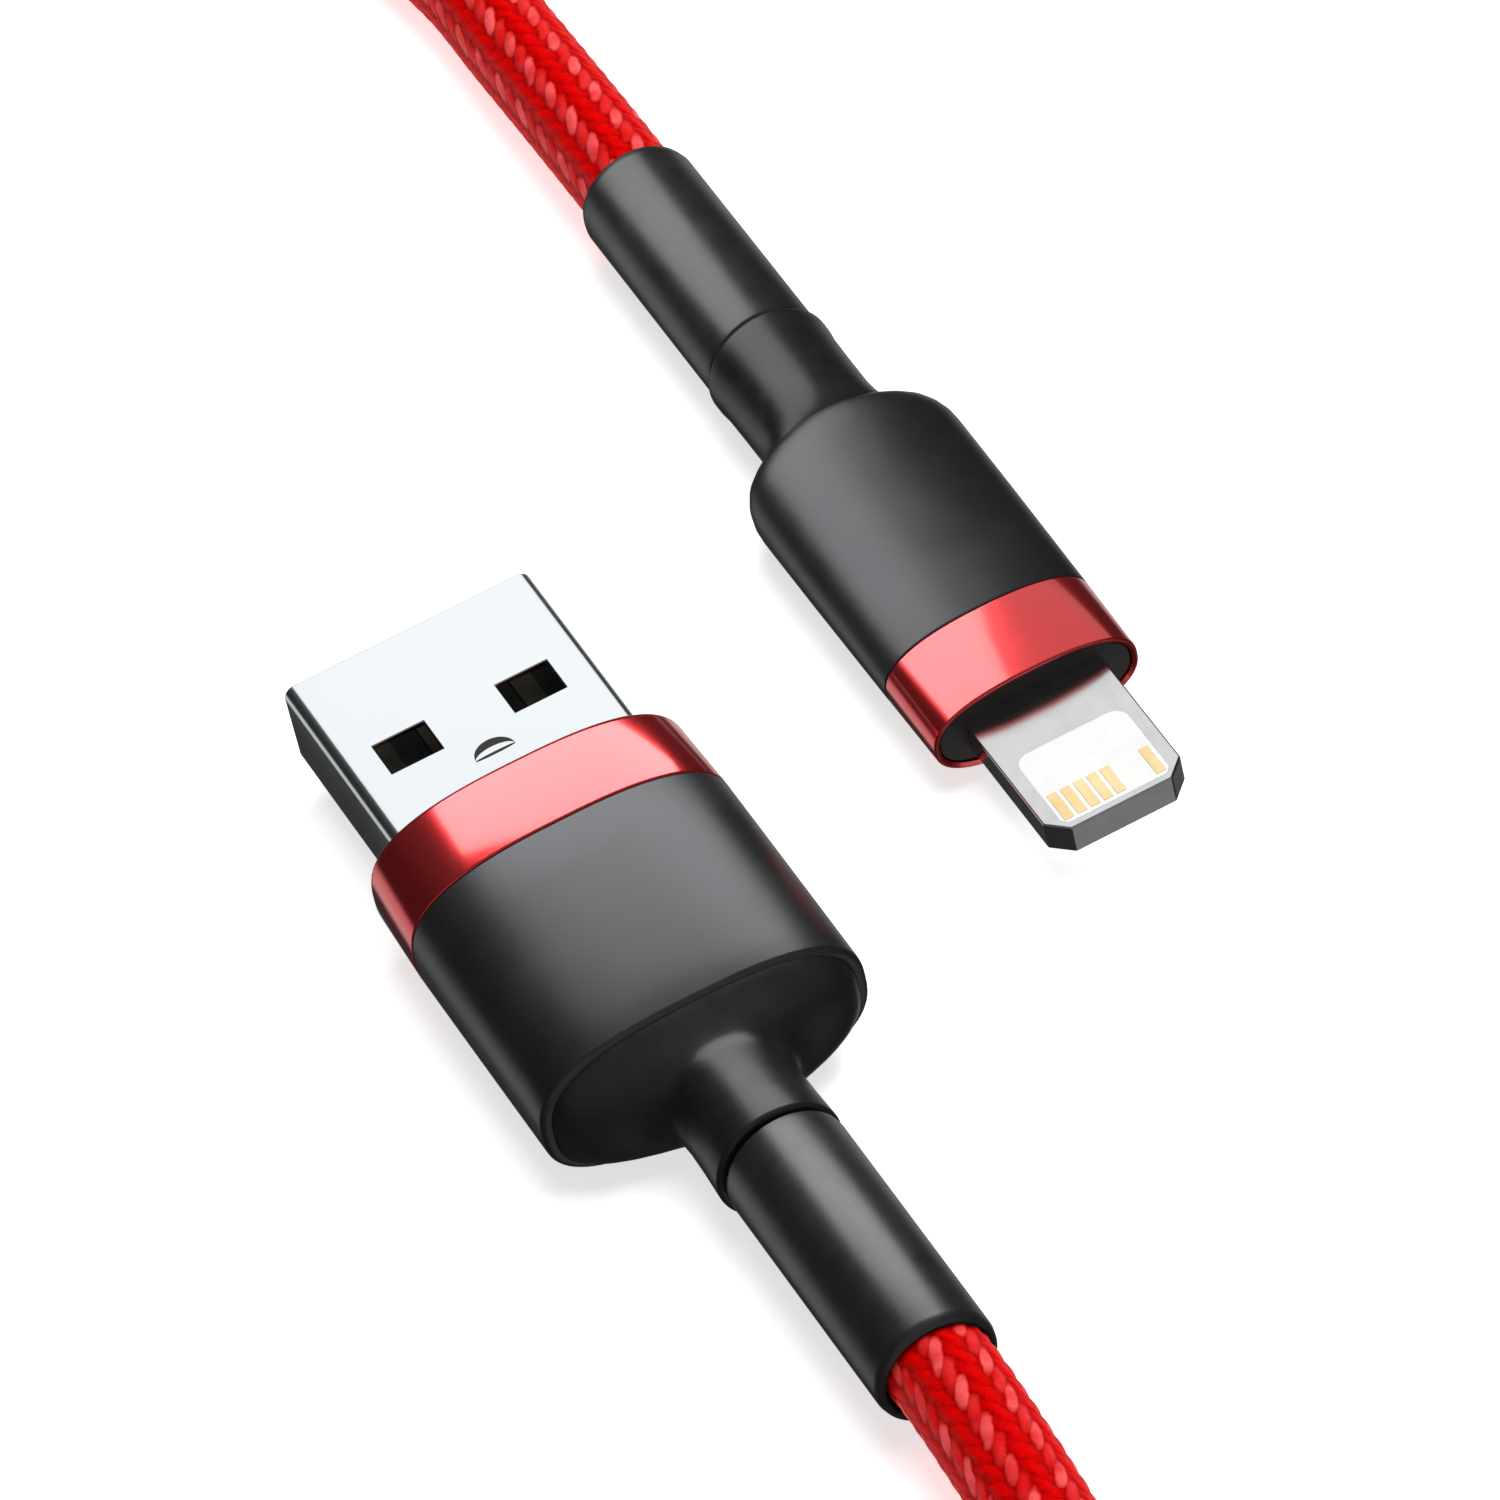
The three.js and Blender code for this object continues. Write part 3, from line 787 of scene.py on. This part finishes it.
# ---------- stage ----------
def add_floor():
    mesh = bpy.data.meshes.new("floor")
    s = 3.0
    mesh.from_pydata([(-s, -s, 0), (s, -s, 0), (s, s, 0), (-s, s, 0)], [], [(0, 1, 2, 3)])
    floor = bpy.data.objects.new("floor", mesh)
    bpy.context.scene.collection.objects.link(floor)
    floor.visible_glossy = False
    tree = Tree("pale_floor")
    tree.shader.inputs["Base Color"].default_value = (0.93, 0.93, 0.93, 1)
    tree.shader.inputs["Roughness"].default_value = 0.9
    tree.shader.inputs["Specular IOR Level"].default_value = 0.0
    tree.shader.inputs["Emission Color"].default_value = (1, 1, 1, 1)
    tree.shader.inputs["Emission Strength"].default_value = 0.68
    mesh.materials.append(tree.material)


def direction(azimuth_deg, elevation_deg):
    azimuth = math.radians(azimuth_deg) + LAYOUT_TURN
    elevation = math.radians(elevation_deg)
    return Vector((math.cos(elevation) * math.cos(azimuth),
                   math.cos(elevation) * math.sin(azimuth), math.sin(elevation)))


# Soft patches of brightness around the object: azimuth, elevation, half angle where the
# patch has faded out, half angle where it is full, brightness.
WORLD_PATCHES = [
    (-14, 46, 50, 5, 0.06),
    (43, -25, 22, 8, 0.62),
    (-34, -38, 30, 12, 0.5),
    (-162, -46, 30, 14, 0.22),
    (175, 35, 72, 30, 0.2),
]
WORLD_FLOOR = 0.03


def add_world():
    world = bpy.data.worlds.new("studio")
    bpy.context.scene.world = world
    world.use_nodes = True
    nodes, links = world.node_tree.nodes, world.node_tree.links
    place = nodes.new("ShaderNodeTexCoord").outputs["Generated"]
    total = None
    for azimuth, elevation, outer, inner, brightness in WORLD_PATCHES:
        dot = nodes.new("ShaderNodeVectorMath")
        dot.operation = "DOT_PRODUCT"
        links.new(place, dot.inputs[0])
        dot.inputs[1].default_value = direction(azimuth, elevation)
        patch = nodes.new("ShaderNodeMapRange")
        patch.interpolation_type = "SMOOTHSTEP"
        links.new(dot.outputs["Value"], patch.inputs["Value"])
        patch.inputs["From Min"].default_value = math.cos(math.radians(outer))
        patch.inputs["From Max"].default_value = math.cos(math.radians(inner))
        patch.inputs["To Min"].default_value = 0.0
        patch.inputs["To Max"].default_value = brightness
        add = nodes.new("ShaderNodeMath")
        add.operation = "ADD"
        links.new(patch.outputs[0], add.inputs[0])
        if total is None:
            add.inputs[1].default_value = WORLD_FLOOR
        else:
            links.new(total, add.inputs[1])
        total = add.outputs[0]
    links.new(total, nodes["Background"].inputs["Color"])
    nodes["Background"].inputs["Strength"].default_value = 1.0


def add_area(name, azimuth, elevation, distance, size, size_y, radiance):
    data = bpy.data.lights.new(name, "AREA")
    data.shape = "RECTANGLE"
    data.size = size
    data.size_y = size_y
    data.energy = radiance * math.pi * size * size_y
    light = bpy.data.objects.new(name, data)
    away = direction(azimuth, elevation)
    light.location = TO_ROW @ Vector((12, -10, 3)) + distance * away
    light.rotation_euler = away.to_track_quat("Z", "Y").to_euler()
    bpy.context.scene.collection.objects.link(light)
    return light


# Window lights that shine on one part each: how the names of the part's pieces start,
# target, then aside, above, width, height in mm and brightness.
SOFTBOXES = [
    (("usb_shell",), (16, 0, 6), -11, -8, 84, 60, 1.12),
    (("usb_collar",), (8, 0, 8), -11, -11.5, 84, 47, 4.0),
    (("usb_housing",), (8, 0, 8), -11, -11.5, 84, 47, 3.4),
    (("usb_sleeve", "usb_rear"), (-18, 0, 7), -10, 0, 76, 60, 3.4),
    (("tab_housing", "tab_sleeve", "tab_rear"), (14, -21.4, 5.5), 42, 0, 82, 90, 2.45),
    (("tab_collar",), (7, -21.4, 5.2), 40, 0, 78, 80, 3.3),
    (("tab_collar",), (7, -21.4, 5.2), 10, 0, 160, 80, 0.55),
    (("tab_plate",), (0, -21.4, 3.7), 6, 0, 60, 60, 0.95),
    (("tab_pad",), (-2, -21.4, 3.7), 6, 0, 60, 60, 1.2),
]
SOFTBOX_DISTANCE = 80.0


def add_softbox(starts, target, aside, above, width, height, radiance):
    """Window light close above its pieces, where their flat tops mirror it to the camera."""
    away = direction(-17.3, 46.2)
    left = Vector((0, 0, 1)).cross(away).normalized()
    lift = away.cross(left)
    data = bpy.data.lights.new("softbox", "AREA")
    data.shape = "RECTANGLE"
    data.size = width * MM
    data.size_y = height * MM
    data.energy = radiance * math.pi * data.size * data.size_y
    light = bpy.data.objects.new("softbox", data)
    turn = Matrix((left, lift, away)).transposed().to_4x4()
    shift = SOFTBOX_DISTANCE * away + aside * left + above * lift
    light.matrix_world = Matrix.Translation(TO_ROW @ Vector(target) + shift * MM) @ turn
    bpy.context.scene.collection.objects.link(light)
    lit = bpy.data.collections.new("lit_" + starts[0])
    for piece in list(bpy.context.scene.objects):
        if piece.name.startswith(starts):
            lit.objects.link(piece)
    light.light_linking.receiver_collection = lit


def add_lights():
    for softbox in SOFTBOXES:
        add_softbox(*softbox)
    key = add_area("key", -60, 50, 0.5, 0.2, 0.2, 9.0)
    key.visible_glossy = False
    fill = add_area("fill", -110, 78, 0.8, 0.55, 0.5, 5.5)
    fill.visible_glossy = False


def use_frame_node(node, material):
    piece = frame["nodes"][node]
    piece.data.materials.clear()
    piece.data.materials.append(material)


# ---------- build ----------
bpy.context.scene.view_settings.view_transform = "Standard"
materials = make_materials()
add_camera()
add_cord(materials)
add_usb_shell(materials)
add_usb_body(materials)
add_tab(materials)
add_tab_body(materials)
use_frame_node("usb_tongue", materials["tongue"])
# The USB contacts take the darkened contact colour, painted shade inside the shell.
for number in range(1, 5):
    use_frame_node(f"usb_contact_{number}", materials["usb_contact"])
use_frame_node("usb_inner_mould", materials["inner"])
use_frame_node("tab_inner_mould", materials["inner"])
add_world()
add_floor()
add_lights()
